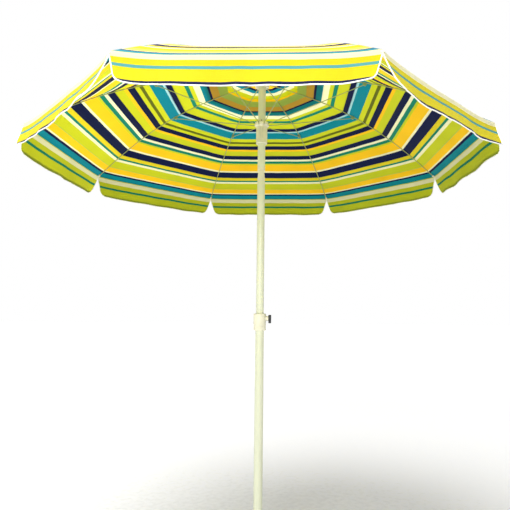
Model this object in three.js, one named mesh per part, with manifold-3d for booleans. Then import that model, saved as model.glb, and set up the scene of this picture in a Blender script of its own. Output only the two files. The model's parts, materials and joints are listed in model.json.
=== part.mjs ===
// Beach umbrella: eight-panel canopy with a wind vent, on a tilting mast that telescopes in a ground pole.
// Millimetres, +Z up the pole. The origin is the middle of the flat on the spike's tip, and -Y is the
// side with the tilt button and the runner's latch. The umbrella stands open, upright and at its lowest.

import * as THREE from 'three';
import { mergeVertices } from 'three/addons/utils/BufferGeometryUtils.js';
import Module from 'manifold-3d';

const wasm = await Module();
wasm.setup();

// ---------------------------------------------------------------- driving dimensions

const RIBS = 8;
const STEP = (2 * Math.PI) / RIBS;
const HALF = STEP / 2;
const TIP_RADIUS = 920;        // rib end, from the mast's axis
const RIM_Z = 1790;            // height of the rib ends
const GAP = 0.3;               // between touching pieces
const ROUND = 20;              // sides on poles and turned parts

const MAST_R = 16, MAST_WALL = 1.4;
const POLE_R = 18, POLE_WALL = 1.3;
const POLE_TOP = 1070;
const MAST_FOOT = 680;         // lower end of the mast inside the ground pole
const SPIKE_TIP_R = 4, SPIKE_H = 72, SPIKE_PLUG = 48;
const COLLAR_R = 26, COLLAR_BOTTOM = 1040, COLLAR_TOP = 1110, SCREW_Z = 1090;

const TILT_Z = RIM_Z - 85;     // axis of the tilt joint
const TILT_BELOW = 28, TILT_ABOVE = 28, TILT_PLUG = 34;
const TONGUE_Y = 7, TONGUE_R = 12, EAR_R = 13.5;
const BUTTON_R = 6.8, BUTTON_H = 3, BUTTON_TRAVEL = 3, PIN_R = 3;

const RING_R = 24, RING_Z = RIM_Z + 325;    // wire ring that the ribs turn on
const RING_WIRE = 1.2;
const HUB_R = 31, HUB_BOTTOM = RIM_Z + 306, HUB_TOP = RIM_Z + 340;
const MAST_TOP = RIM_Z + 332;
const FINIAL_H = 30, FINIAL_R = 28.5;

const RIB_R = 2.25, EYE_R = 4.2, EYE_Y = 2.2;
const RIB_STEPS = 10;          // straight stretches that the rib's curve is made of
const CLIP_T = 0.418;          // where on the rib curve the stretcher's clip sits, 0 to 1
const CLIP_DROP = 8;           // pivot below the rib's middle
const CHEEK_IN = 2.4, CHEEK_OUT = 4;
const STRETCHER_R = 2, PIVOT_R = 1.5;
const TIP_CAP_R = 4.5, TIP_CAP_L = 20;

const CROWN_R = 31, CROWN_PIVOT_R = 26, CROWN_PIVOT_Z = RIM_Z + 136;
const RUNNER_BORE = 17.5, RUNNER_R = 21.5, RUNNER_BOTTOM = RIM_Z + 50;
const CROWN_BOTTOM = RIM_Z + 127, CROWN_TOP = RIM_Z + 144;
const LATCH_BOTTOM = RIM_Z + 71, LATCH_TOP = RIM_Z + 120, LATCH_X = 3.6, WINDOW_X = 5.4;
const STOP_PIN_Z = RIM_Z + 151;

const CLOTH = 2, CLOTH_LIFT = 3.2;            // thickness, and height above the rib's middle
const HEM_RADIUS = 904, VENT_RADIUS = 168;  // at the ribs
const CAP_RADIUS = 276, CAP_INNER = 29, CAP_CENTRE_Z = RIM_Z + 343, CAP_EDGE_Z = RIM_Z + 312;
const VALANCE_DROP = 80, VALANCE_FLARE = 6, VALANCE_INSET = 13, VALANCE_CORNER = 30;

// ---------------------------------------------------------------- materials

const surface = (color, roughness, metalness) => new THREE.MeshStandardMaterial({ color, roughness, metalness });
const whitePaint = surface(0xeeeee8, 0.35, 0.1);
const whitePlastic = surface(0xeeebdc, 0.45, 0);
const darkPlastic = surface(0x2b2f33, 0.5, 0);
const steel = surface(0xb8babc, 0.35, 1);
const ribPaint = surface(0xd9dcd2, 0.4, 0.3);
const cloth = surface(0xc9d23a, 0.85, 0);
const capCloth = surface(0x2a9aa6, 0.85, 0);

// ---------------------------------------------------------------- solids

/** A closed geometry as a solid, its shared corners merged and its faces pointing out. */
function solid(geometry) {
  const bare = geometry.clone();
  bare.deleteAttribute('normal');
  bare.deleteAttribute('uv');
  const merged = mergeVertices(bare, 1e-4);
  const at = merged.attributes.position;
  const corners = Uint32Array.from(merged.index.array);
  const [a, b, c] = [new THREE.Vector3(), new THREE.Vector3(), new THREE.Vector3()];
  let volume = 0;
  for (let i = 0; i < corners.length; i += 3) {
    a.fromBufferAttribute(at, corners[i]);
    b.fromBufferAttribute(at, corners[i + 1]);
    c.fromBufferAttribute(at, corners[i + 2]);
    volume += a.dot(b.cross(c));
  }
  if (volume < 0) for (let i = 0; i < corners.length; i += 3) corners.subarray(i, i + 2).reverse();
  const mesh = new wasm.Mesh({ numProp: 3, vertProperties: Float32Array.from(at.array), triVerts: corners });
  return new wasm.Manifold(mesh);
}

/** A solid back as a geometry. */
function shell(manifold) {
  const { vertProperties, triVerts } = manifold.getMesh();
  const geometry = new THREE.BufferGeometry();
  geometry.setAttribute('position', new THREE.BufferAttribute(vertProperties, 3));
  geometry.setIndex(new THREE.BufferAttribute(triVerts, 1));
  geometry.computeVertexNormals();
  return geometry;
}

/** The first geometry joined with the rest. */
const join = (first, ...rest) => shell(rest.reduce((all, one) => all.add(solid(one)), solid(first)));

/** The first geometry with the rest cut from it. */
const cut = (first, ...rest) => shell(rest.reduce((left, one) => left.subtract(solid(one)), solid(first)));

/** A shape turned about the Z axis from [radius, z] points. */
const turned = (points, sides = ROUND) =>
  new THREE.LatheGeometry(points.map(([r, z]) => new THREE.Vector2(r, z)), sides).rotateX(Math.PI / 2);

/** A straight tube about the Z axis. */
const tube = (outer, inner, bottom, top) =>
  turned([[outer, bottom], [outer, top], [inner, top], [inner, bottom], [outer, bottom]]);

/** A plate standing in the XZ plane, from an [x, z] outline or a Shape, centred on y unless told where. */
function plate(outline, thickness, y = 0) {
  const shape = outline instanceof THREE.Shape
    ? outline : new THREE.Shape(outline.map(([x, z]) => new THREE.Vector2(x, z)));
  const geometry = new THREE.ExtrudeGeometry(shape, { depth: thickness, bevelEnabled: false, curveSegments: 6 });
  return geometry.rotateX(Math.PI / 2).translate(0, y + thickness / 2, 0);
}

/** A disc in the XZ plane, with a hole if asked, centred on y. */
function disc(x, z, radius, thickness, hole = 0, y = 0) {
  const shape = new THREE.Shape().absarc(x, z, radius, 0, 2 * Math.PI);
  if (hole) shape.holes.push(new THREE.Path().absarc(x, z, hole, 0, 2 * Math.PI));
  return plate(shape, thickness, y);
}

/** A rod between two points. */
function rod(from, to, radius, sides = 8) {
  const line = new THREE.LineCurve3(new THREE.Vector3(...from), new THREE.Vector3(...to));
  const section = new THREE.Shape(polygon(radius, sides));
  return new THREE.ExtrudeGeometry(section, { steps: 1, extrudePath: line, bevelEnabled: false });
}

/** The corners of a regular polygon. */
const polygon = (radius, sides) => Array.from({ length: sides }, (_, i) => {
  const angle = ((i + 0.5) * 2 * Math.PI) / sides;
  return new THREE.Vector2(radius * Math.cos(angle), radius * Math.sin(angle));
});

const box = (x0, x1, y0, y1, z0, z1) =>
  new THREE.BoxGeometry(x1 - x0, y1 - y0, z1 - z0).translate((x0 + x1) / 2, (y0 + y1) / 2, (z0 + z1) / 2);

/** The direction of rib i, as an angle from +X: the front panel's middle faces -Y. */
const ribAngle = (i) => -Math.PI / 2 + HALF + i * STEP;

/** One copy of a shape, made along +X, for each rib. */
const aroundRibs = (make) => Array.from({ length: RIBS }, (_, i) => make().rotateZ(ribAngle(i)));

const umbrella = new THREE.Group();

function add(name, geometry, material, turn = 0) {
  const mesh = new THREE.Mesh(geometry, material);
  mesh.name = name;
  mesh.rotation.z = turn;
  umbrella.add(mesh);
}

// ---------------------------------------------------------------- ground pole

const boreR = POLE_R - POLE_WALL;

add('ground_spike', turned([
  [0, 0], [SPIKE_TIP_R, 0], [POLE_R - 2.5, SPIKE_H - 12], [POLE_R, SPIKE_H - 8], [POLE_R, SPIKE_H],
  [boreR - GAP, SPIKE_H], [boreR - GAP, SPIKE_H + SPIKE_PLUG], [0, SPIKE_H + SPIKE_PLUG],
]), whitePlastic);

add('lower_pole', tube(POLE_R, boreR, SPIKE_H + GAP, POLE_TOP), whitePaint);

// The collar grips the pole's end and guides the mast above it; the screw bears on the mast.
add('clamp_collar', cut(
  join(
    turned([
      [COLLAR_R - 2, COLLAR_BOTTOM], [COLLAR_R, COLLAR_BOTTOM + 2], [COLLAR_R, COLLAR_TOP - 4],
      [COLLAR_R - 4, COLLAR_TOP], [MAST_R + GAP, COLLAR_TOP], [MAST_R + GAP, POLE_TOP + GAP],
      [POLE_R + GAP, POLE_TOP + GAP], [POLE_R + GAP, COLLAR_BOTTOM], [COLLAR_R - 2, COLLAR_BOTTOM],
    ]),
    rod([COLLAR_R - 5, 0, SCREW_Z], [COLLAR_R + 10, 0, SCREW_Z], 10, 12),
  ),
  rod([MAST_R - 2, 0, SCREW_Z], [COLLAR_R + 12, 0, SCREW_Z], 4.5, 12),
), whitePlastic);

/** The clamp screw's knob: three broad lobes about the X axis. */
function knob(x, radius, thickness) {
  const lobes = 3, outline = [];
  for (let i = 0; i < 24; i++) {
    const angle = (i * 2 * Math.PI) / 24;
    const r = radius * (0.84 + 0.16 * Math.cos(lobes * angle));
    outline.push(new THREE.Vector2(r * Math.cos(angle), r * Math.sin(angle)));
  }
  const geometry = new THREE.ExtrudeGeometry(new THREE.Shape(outline), { depth: thickness, bevelEnabled: false });
  return geometry.rotateY(Math.PI / 2).translate(x, 0, SCREW_Z);
}

add('clamp_screw', join(
  rod([MAST_R + 0.5, 0, SCREW_Z], [COLLAR_R + 16, 0, SCREW_Z], 4, 12),
  knob(COLLAR_R + 10 + GAP, 20, 11),
), darkPlastic);

// ---------------------------------------------------------------- mast and tilt joint

const mastBore = MAST_R - MAST_WALL;
const plugR = mastBore - GAP;

add('mast_foot_plug', turned([
  [0, MAST_FOOT - 8], [MAST_R - 2, MAST_FOOT - 8], [MAST_R, MAST_FOOT - 6], [MAST_R, MAST_FOOT - GAP],
  [plugR, MAST_FOOT - GAP], [plugR, MAST_FOOT + 22], [0, MAST_FOOT + 22],
]), darkPlastic);

add('mast_lower_tube', tube(MAST_R, mastBore, MAST_FOOT, TILT_Z - TILT_BELOW - GAP), whitePaint);

/** The fork's two ears: full width below the pivot, and round about it above. */
const earTop = new THREE.Shape()
  .moveTo(-MAST_R - 4, TILT_Z - TILT_BELOW - TILT_PLUG - 1)
  .lineTo(MAST_R + 4, TILT_Z - TILT_BELOW - TILT_PLUG - 1)
  .lineTo(MAST_R + 4, TILT_Z)
  .lineTo(EAR_R, TILT_Z)
  .absarc(0, TILT_Z, EAR_R, 0, Math.PI, false)
  .lineTo(-MAST_R - 4, TILT_Z);

const forkBody = solid(turned([
  [0, TILT_Z - TILT_BELOW - TILT_PLUG], [plugR, TILT_Z - TILT_BELOW - TILT_PLUG], [plugR, TILT_Z - TILT_BELOW],
  [MAST_R, TILT_Z - TILT_BELOW], [MAST_R, TILT_Z + EAR_R + 2], [0, TILT_Z + EAR_R + 2],
])).intersect(solid(plate(earTop, 3 * MAST_R)));
const slotY = TONGUE_Y + GAP;
add('tilt_fork', cut(
  shell(forkBody),
  box(-MAST_R - 2, MAST_R + 2, -slotY, slotY, TILT_Z - TONGUE_R - GAP, TILT_Z + 2 * MAST_R),
  disc(0, TILT_Z, PIN_R + 0.1, 3 * MAST_R),
  disc(0, TILT_Z, BUTTON_R + GAP, MAST_R, 0, -BUTTON_TRAVEL - BUTTON_H - 3.6 - MAST_R / 2),
), whitePlastic);

const tongueFoot = new THREE.Shape()
  .moveTo(TONGUE_R, TILT_Z + TILT_ABOVE - 10)
  .lineTo(-TONGUE_R, TILT_Z + TILT_ABOVE - 10)
  .lineTo(-TONGUE_R, TILT_Z)
  .absarc(0, TILT_Z, TONGUE_R, Math.PI, 2 * Math.PI, false);
add('tilt_tongue', cut(
  join(
    turned([
      [0, TILT_Z + EAR_R + 0.5], [MAST_R, TILT_Z + EAR_R + 0.5], [MAST_R, TILT_Z + TILT_ABOVE],
      [plugR, TILT_Z + TILT_ABOVE], [plugR, TILT_Z + TILT_ABOVE + TILT_PLUG], [0, TILT_Z + TILT_ABOVE + TILT_PLUG],
    ]),
    plate(tongueFoot, 2 * TONGUE_Y),
  ),
  disc(0, TILT_Z, PIN_R + 0.25, 3 * MAST_R),
), whitePlastic);

const buttonFace = -MAST_R + 0.1;
const pinFront = buttonFace + BUTTON_H + BUTTON_TRAVEL + GAP, pinBack = MAST_R - 0.6;
add('tilt_pin', disc(0, TILT_Z, PIN_R, pinBack - pinFront, 0, (pinBack + pinFront) / 2), steel);
add('tilt_button', disc(0, TILT_Z, BUTTON_R, BUTTON_H, 0, buttonFace + BUTTON_H / 2), whitePlastic);

add('mast_upper_tube', cut(
  tube(MAST_R, mastBore, TILT_Z + TILT_ABOVE + GAP, MAST_TOP),
  disc(0, STOP_PIN_Z, 2.3, MAST_R, 0, -MAST_R),
), whitePaint);
add('runner_stop_pin', disc(0, STOP_PIN_Z, 2, 8, 0, -MAST_R + 1.4), darkPlastic);

// ---------------------------------------------------------------- hub and finial

// The ring is bent to an octagon, so each rib turns on a straight stretch of it.
const octagonRing = (wire) => new THREE.TorusGeometry(RING_R / Math.cos(HALF), wire, 6, RIBS)
  .rotateZ(HALF + ribAngle(0)).translate(0, 0, RING_Z);

add('hub', cut(
  turned([
    [MAST_R + GAP, HUB_BOTTOM], [HUB_R - 3, HUB_BOTTOM], [HUB_R, HUB_BOTTOM + 3], [HUB_R, HUB_TOP - 3],
    [HUB_R - 3, HUB_TOP], [5.5, HUB_TOP], [5.5, MAST_TOP + GAP], [MAST_R + GAP, MAST_TOP + GAP],
    [MAST_R + GAP, HUB_BOTTOM],
  ]),
  ...aroundRibs(() => box(RING_R - EYE_R - GAP, HUB_R + 5, -EYE_Y - 0.4, EYE_Y + 0.4, HUB_BOTTOM - 5, RING_Z + EYE_R + 0.8)),
  octagonRing(RING_WIRE + 0.5),
), whitePlastic);
add('hub_ring_wire', octagonRing(RING_WIRE), steel);

add('finial', turned([
  [0, MAST_TOP + 0.6], [5, MAST_TOP + 0.6], [5, HUB_TOP + GAP], [FINIAL_R, HUB_TOP + GAP],
  [FINIAL_R, HUB_TOP + 4], [FINIAL_R - 8, HUB_TOP + 8], [15, HUB_TOP + 14], [13, HUB_TOP + 20],
  [9, HUB_TOP + FINIAL_H - 3], [4, HUB_TOP + FINIAL_H], [0, HUB_TOP + FINIAL_H],
]), whitePlastic);

// ---------------------------------------------------------------- runner

/** Places the fins between the stretchers, all round but the front, where the latch is. */
const fins = Array.from({ length: RIBS - 1 }, (_, i) =>
  box(RUNNER_R - 1, 24, -1.2, 1.2, RUNNER_BOTTOM + 4, CROWN_BOTTOM + 2).rotateZ(-Math.PI / 2 + (i + 1) * STEP));
const latchY = -RUNNER_R + 0.3;
add('runner', cut(
  join(
    turned([
      [RUNNER_BORE, RUNNER_BOTTOM], [24, RUNNER_BOTTOM], [24, RUNNER_BOTTOM + 6], [RUNNER_R, RUNNER_BOTTOM + 8],
      [RUNNER_R, CROWN_BOTTOM], [CROWN_R, CROWN_BOTTOM + 3], [CROWN_R, CROWN_TOP - 2], [CROWN_R - 3, CROWN_TOP],
      [RUNNER_BORE, CROWN_TOP], [RUNNER_BORE, RUNNER_BOTTOM],
    ]),
    ...fins,
  ),
  ...aroundRibs(() => box(22, CROWN_R + 5, -STRETCHER_R - 0.5, STRETCHER_R + 0.5, CROWN_BOTTOM - 4, CROWN_TOP + 5)),
  box(-WINDOW_X, WINDOW_X, -RUNNER_R - 6, -RUNNER_BORE + 3, LATCH_BOTTOM - GAP, LATCH_TOP + GAP),
), whitePlastic);

// The latch is a tongue in the runner's front window, with a thumb pad at its upper end.
add('runner_latch', join(
  box(-LATCH_X, LATCH_X, latchY, latchY + 2.2, LATCH_BOTTOM, LATCH_TOP),
  box(-LATCH_X, LATCH_X, latchY - 2.6, latchY + 1, LATCH_TOP - 16, LATCH_TOP - 2),
), whitePlastic);

// ---------------------------------------------------------------- ribs and stretchers, each made along +X

const ribCurve = new THREE.CubicBezierCurve3(
  new THREE.Vector3(RING_R, 0, RING_Z), new THREE.Vector3(440, 0, RIM_Z + 288),
  new THREE.Vector3(646, 0, RIM_Z + 185), new THREE.Vector3(TIP_RADIUS, 0, RIM_Z),
);

/** The point on the rib at t, moved along the rib by u and away from the ground pole by v. */
function besideRib(t, u, v) {
  const at = ribCurve.getPoint(t), along = ribCurve.getTangent(t);
  return [at.x + along.x * u - along.z * v, at.z + along.z * u + along.x * v];
}

/** The rib curve's t at a radius. */
function ribParameter(radius) {
  let low = 0, high = 1;
  for (let i = 0; i < 40; i++) {
    const middle = (low + high) / 2;
    if (ribCurve.getPoint(middle).x < radius) low = middle; else high = middle;
  }
  return low;
}

const pivot = besideRib(CLIP_T, 0, -CLIP_DROP);
const clipSide = [[-8, 1.2], [8, 1.2], [8, -5], [4.5, -12], [-4.5, -12], [-8, -5]]
  .map(([u, v]) => besideRib(CLIP_T, u, v));
const clipRoof = [[-8, 1.2], [8, 1.2], [8, -3.4], [-8, -3.4]].map(([u, v]) => besideRib(CLIP_T, u, v));

function ribShape() {
  const section = new THREE.Shape(polygon(RIB_R, 6));
  const wire = new THREE.ExtrudeGeometry(section, { steps: RIB_STEPS, extrudePath: ribCurve, bevelEnabled: false });
  const cheek = CHEEK_OUT - CHEEK_IN;
  const solidRib = solid(wire)
    .add(solid(disc(RING_R, RING_Z, EYE_R, 2 * EYE_Y)))
    .add(solid(plate(clipSide, cheek, (CHEEK_IN + CHEEK_OUT) / 2)))
    .add(solid(plate(clipSide, cheek, -(CHEEK_IN + CHEEK_OUT) / 2)))
    .add(solid(plate(clipRoof, 2 * CHEEK_OUT)))
    .add(solid(disc(...pivot, PIVOT_R, 2 * CHEEK_OUT + 1.2)));
  return shell(solidRib.subtract(solid(disc(RING_R, RING_Z, RING_WIRE + 0.6, 4 * EYE_Y))));
}

function stretcherShape() {
  const foot = [CROWN_PIVOT_R, CROWN_PIVOT_Z];
  return cut(
    join(
      rod([pivot[0], 0, pivot[1]], [foot[0], 0, foot[1]], STRETCHER_R, 6),
      disc(...pivot, 3.6, 2 * STRETCHER_R),
      disc(...foot, 3, 2 * STRETCHER_R),
    ),
    disc(...pivot, PIVOT_R + 0.4, 4 * STRETCHER_R),
  );
}

/** The plastic cap on the rib's end: a blunt sleeve that the rib pushes into. */
function tipCapShape() {
  const end = ribCurve.getPoint(1), along = ribCurve.getTangent(1);
  const sleeve = turned([
    [RIB_R + 0.35, 0], [TIP_CAP_R - 1, 0], [TIP_CAP_R, 1.5], [TIP_CAP_R, TIP_CAP_L - 5], [TIP_CAP_R - 2.5, TIP_CAP_L],
    [0, TIP_CAP_L], [0, TIP_CAP_L - 6], [RIB_R + 0.35, TIP_CAP_L - 6], [RIB_R + 0.35, 0],
  ], 8);
  const turn = new THREE.Quaternion().setFromUnitVectors(new THREE.Vector3(0, 0, 1), along);
  const back = TIP_CAP_L - 6 - GAP;
  return sleeve.applyQuaternion(turn).translate(end.x - along.x * back, 0, end.z - along.z * back);
}

// ---------------------------------------------------------------- cloth, one sector about each rib

/** Half a panel each side of a rib from a [distance, z] outline of the panel's middle, as one solid. */
function sectorShape(outline, halfWidth, ...cuts) {
  const profile = plate(outline, halfWidth, -halfWidth / 2 - GAP / 2);
  const gore = cuts.length ? cut(profile, ...cuts) : profile;
  const overlap = 0.5;                       // the two halves run this far past the rib's plane
  const side = box(0, 2 * TIP_RADIUS, -overlap, TIP_RADIUS, 0, 2 * RIM_Z);
  const left = solid(gore.clone().rotateZ(HALF)).intersect(solid(side));
  const right = solid(gore.clone().scale(1, -1, 1).rotateZ(-HALF)).intersect(solid(side.clone().scale(1, -1, 1)));
  return shell(left.add(right));
}

/** Points of a panel's middle line, at a height over the ribs, from the vent to the rim, bent where a rib is. */
function panelLine(height) {
  const bends = Array.from({ length: RIB_STEPS + 1 }, (_, i) => ribCurve.getUtoTmapping(i / RIB_STEPS))
    .filter((t) => ribCurve.getPoint(t).x > VENT_RADIUS + 20 && ribCurve.getPoint(t).x < HEM_RADIUS - 20);
  return [ribParameter(VENT_RADIUS), ...bends, ribParameter(HEM_RADIUS)].map((t) => {
    const [r, z] = besideRib(t, 0, height);
    return [r * Math.cos(HALF), z];
  });
}

function canopyShape() {
  const under = panelLine(CLOTH_LIFT), over = panelLine(CLOTH_LIFT + CLOTH);
  const [rimR, rimZ] = under[under.length - 1];
  const hemR = rimR + VALANCE_FLARE, hemZ = RIM_Z - VALANCE_DROP;
  const outline = [...under, [hemR, hemZ], [hemR + CLOTH, hemZ], ...over.reverse()];
  const width = HEM_RADIUS * Math.sin(HALF), beyond = width + 20;
  // what is cut from the valance's end: a straight inset, then a round lower corner
  const end = -width + VALANCE_INSET;
  const notch = new THREE.Shape()
    .moveTo(-beyond, rimZ + 0.5)
    .lineTo(end, rimZ + 0.5)
    .lineTo(end, hemZ + VALANCE_CORNER)
    .absarc(end + VALANCE_CORNER, hemZ + VALANCE_CORNER, VALANCE_CORNER, Math.PI, 1.5 * Math.PI, false)
    .lineTo(end + VALANCE_CORNER, hemZ - 10)
    .lineTo(-beyond, hemZ - 10);
  const cutter = plate(notch, 80).rotateZ(Math.PI / 2).translate(rimR, 0, 0);
  return sectorShape(outline, beyond, cutter);
}

function ventCapShape() {
  const edge = CAP_RADIUS * Math.cos(HALF), steps = 6;
  const line = (height) => Array.from({ length: steps + 1 }, (_, i) => {
    const r = CAP_INNER + ((edge - CAP_INNER) * i) / steps;
    return [r, CAP_CENTRE_Z - (CAP_CENTRE_Z - CAP_EDGE_Z) * (r / edge) ** 2 + height];
  });
  return sectorShape([...line(-CLOTH / 2), ...line(CLOTH / 2).reverse()], CAP_RADIUS);
}

const pieces = [
  ['rib', ribShape(), ribPaint],
  ['rib_tip', tipCapShape(), whitePlastic],
  ['stretcher', stretcherShape(), ribPaint],
  ['canopy', canopyShape(), cloth],
  ['vent_cap', ventCapShape(), capCloth],
];
for (const [name, geometry, material] of pieces) {
  for (let i = 0; i < RIBS; i++) add(`${name}_${i + 1}`, geometry, material, ribAngle(i));
}

export default umbrella;
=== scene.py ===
"""Beach umbrella: the striped, vented canopy and the finished frame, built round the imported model.

Metres, +Z up the pole. Each rib's cloth is made in a frame of its own: x outwards along the rib,
y across it and z up, then turned to the rib's place.
"""
import json
import math

import bmesh
import bpy
import numpy as np
from mathutils import Matrix, Vector, noise


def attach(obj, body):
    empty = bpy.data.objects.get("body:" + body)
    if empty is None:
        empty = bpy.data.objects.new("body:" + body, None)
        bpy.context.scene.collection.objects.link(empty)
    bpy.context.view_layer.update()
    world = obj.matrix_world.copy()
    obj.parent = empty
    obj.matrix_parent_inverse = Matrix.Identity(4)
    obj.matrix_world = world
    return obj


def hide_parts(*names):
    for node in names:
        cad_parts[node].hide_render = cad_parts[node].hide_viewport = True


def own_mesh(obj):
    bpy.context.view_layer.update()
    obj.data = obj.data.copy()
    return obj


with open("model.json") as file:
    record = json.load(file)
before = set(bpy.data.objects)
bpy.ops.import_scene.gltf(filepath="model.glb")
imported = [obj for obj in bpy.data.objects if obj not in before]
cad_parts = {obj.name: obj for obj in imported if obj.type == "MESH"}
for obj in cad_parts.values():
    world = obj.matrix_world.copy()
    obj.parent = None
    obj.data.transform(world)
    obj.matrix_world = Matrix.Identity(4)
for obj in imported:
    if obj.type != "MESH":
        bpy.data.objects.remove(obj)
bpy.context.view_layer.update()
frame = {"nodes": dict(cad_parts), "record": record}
nodes = frame["nodes"]

# ---------------------------------------------------------------- driving dimensions

RIBS = 8
HALF = math.pi / RIBS
RIM_Z = 1.790
RING_R, RING_Z = 0.024, RIM_Z + 0.325      # the wire ring that the ribs turn on
TIP_R = 0.920
RIB_POINTS = ((RING_R, RING_Z), (0.440, RIM_Z + 0.288), (0.646, RIM_Z + 0.185), (TIP_R, RIM_Z))

MAST_R, POLE_R = 0.016, 0.018
TILT_Z = RIM_Z - 0.085
GAP = 0.0003                   # between touching pieces

CLOTH_LIFT = 0.0036            # the cloth's middle above a rib's middle
TIP_LIFT = 0.0016              # how much more it is over the rib's plastic tip
CLOTH = 0.0007                 # the cloth's thickness
HEM_R, VENT_R = 0.918, 0.168   # the fold above the valance and the vent's edge, at the ribs
CAP_EDGE_R, CAP_INNER = 0.276, 0.029
CAP_CENTRE_Z, CAP_EDGE_Z = RIM_Z + 0.3432, RIM_Z + 0.312
VALANCE = 0.100                # its height
CUT_SHIFT = 0.013              # how much further up the print the front panels were cut
NAVY_HEM, LIME_HEM = 0.009, 0.029   # the print's first two stripes outside
VALANCE_FLARE = 0.024          # how far it stands outwards at its edge
TAPE, CAP_TAPE = 0.0018, 0.0016     # half the thickness of the white binding of the valances and the cap


def rib_angle(i):
    """The direction of rib i from +X; the front panel's middle faces -Y."""
    return -math.pi / 2 + HALF + i * 2 * HALF


# ---------------------------------------------------------------- camera, light and backdrop

def aim(obj, forward, roll):
    """Turns an object's -Z along forward, then rolls it about that."""
    forward = Vector(forward).normalized()
    right = forward.cross(Vector((0, 0, 1))).normalized()
    up = right.cross(forward)
    facing = Matrix((right, up, -forward)).transposed()
    obj.rotation_mode = "QUATERNION"
    obj.rotation_quaternion = (facing @ Matrix.Rotation(roll, 3, "Z")).to_quaternion()


camera = bpy.data.objects.new("camera", bpy.data.cameras.new("camera"))
bpy.context.scene.collection.objects.link(camera)
bpy.context.scene.camera = camera
camera.data.sensor_width = 36.0
camera.data.lens = 34.1
camera.data.shift_x = -0.039
camera.location = (0.108, -2.031, RIM_Z - 0.653)
YAW, PITCH, ROLL = math.radians(-1.32), math.radians(6.16), math.radians(0.42)
aim(camera, (math.sin(YAW) * math.cos(PITCH), math.cos(YAW) * math.cos(PITCH), math.sin(PITCH)), ROLL)


def area_light(name, place, target, size, power):
    """A round, softly shining panel that faces a target."""
    lamp = bpy.data.lights.new(name, "AREA")
    lamp.shape, lamp.size, lamp.energy = "DISK", size, power
    obj = bpy.data.objects.new(name, lamp)
    bpy.context.scene.collection.objects.link(obj)
    obj.location = place
    aim(obj, Vector(target) - Vector(place), 0)


area_light("sky_light", (-1.0, -1.2, 5.2), (0, 0, RIM_Z), 3.4, 300)
area_light("front_light", (-0.9, -5.0, 2.7), (0, 0, RIM_Z - 0.2), 2.4, 140)

bpy.context.scene.view_settings.view_transform = "Standard"


def backdrop(name, lighting, seen):
    """A white world: one strength for what it lights, and another for what the camera sees of it."""
    world = bpy.data.worlds.new(name)
    bpy.context.scene.world = world
    world.use_nodes = True
    tree = world.node_tree
    light = tree.nodes["Background"]
    white = tree.nodes.new("ShaderNodeBackground")
    for shader, strength in ((light, lighting), (white, seen)):
        shader.inputs["Color"].default_value = (1, 1, 1, 1)
        shader.inputs["Strength"].default_value = strength
    ray = tree.nodes.new("ShaderNodeLightPath")
    choose = tree.nodes.new("ShaderNodeMixShader")
    tree.links.new(ray.outputs["Is Camera Ray"], choose.inputs["Fac"])
    tree.links.new(light.outputs["Background"], choose.inputs[1])
    tree.links.new(white.outputs["Background"], choose.inputs[2])
    tree.links.new(choose.outputs["Shader"], tree.nodes["World Output"].inputs["Surface"])


backdrop("studio", 0.36, 1.0)

# ---------------------------------------------------------------- materials


class Nodes:
    """A material's node tree, with short calls for the nodes that the materials here are made of."""

    def __init__(self, name):
        self.material = bpy.data.materials.new(name)
        self.material.use_nodes = True
        self.tree = self.material.node_tree
        self.shader = self.tree.nodes["Principled BSDF"]

    def node(self, kind, **settings):
        made = self.tree.nodes.new("ShaderNode" + kind)
        for key, value in settings.items():
            setattr(made, key, value)
        return made

    def link(self, out, into):
        self.tree.links.new(out, into)

    def set(self, **values):
        """Sets the Principled shader's own sockets, written with _ for a space."""
        for key, value in values.items():
            socket = self.shader.inputs[key.replace("_", " ")]
            socket.default_value = (*value, 1) if socket.type == "RGBA" else value

    def mapped(self, coordinates, scale):
        """Coordinates stretched by a scale for each axis."""
        mapping = self.node("Mapping")
        mapping.inputs["Scale"].default_value = scale
        self.link(coordinates, mapping.inputs["Vector"])
        return mapping.outputs["Vector"]

    def noise(self, coordinates, scale, detail=3.0, roughness=0.5):
        made = self.node("TexNoise")
        made.inputs["Scale"].default_value = scale
        made.inputs["Detail"].default_value = detail
        made.inputs["Roughness"].default_value = roughness
        self.link(coordinates, made.inputs["Vector"])
        return made.outputs["Fac"]

    def ranged(self, value, low, high, from_low=0.0, from_high=1.0):
        """A value carried from one range to another and held inside it."""
        made = self.node("MapRange")
        numbers = (from_low, from_high, low, high)
        for key, number in zip(("From Min", "From Max", "To Min", "To Max"), numbers):
            made.inputs[key].default_value = number
        self.link(value, made.inputs["Value"])
        return made.outputs["Result"]

    def maths(self, operation, a, b):
        made = self.node("Math", operation=operation)
        for socket, value in zip(made.inputs, (a, b)):
            if isinstance(value, (int, float)):
                socket.default_value = value
            else:
                self.link(value, socket)
        return made.outputs[0]

    def mix(self, factor, a, b, blend="MIX"):
        """A colour mix; each of factor, a and b is a socket or a plain value."""
        made = self.node("Mix", data_type="RGBA", blend_type=blend)
        for socket, value in ((made.inputs[0], factor), (made.inputs[6], a), (made.inputs[7], b)):
            if isinstance(value, (int, float)):
                socket.default_value = value
            elif isinstance(value, tuple):
                socket.default_value = (*value, 1)
            else:
                self.link(value, socket)
        return made.outputs[2]

    def bump(self, height, strength, distance):
        made = self.node("Bump")
        made.inputs["Strength"].default_value = strength
        made.inputs["Distance"].default_value = distance
        self.link(height, made.inputs["Height"])
        self.link(made.outputs["Normal"], self.shader.inputs["Normal"])


def srgb(red, green, blue):
    """An 8-bit display colour as the linear one that shaders take."""
    return tuple(c / 255 / 12.92 if c <= 10 else ((c / 255 + 0.055) / 1.055) ** 2.4
                 for c in (red, green, blue))


def darker(colour, share):
    return tuple(c * share for c in colour)


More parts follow.
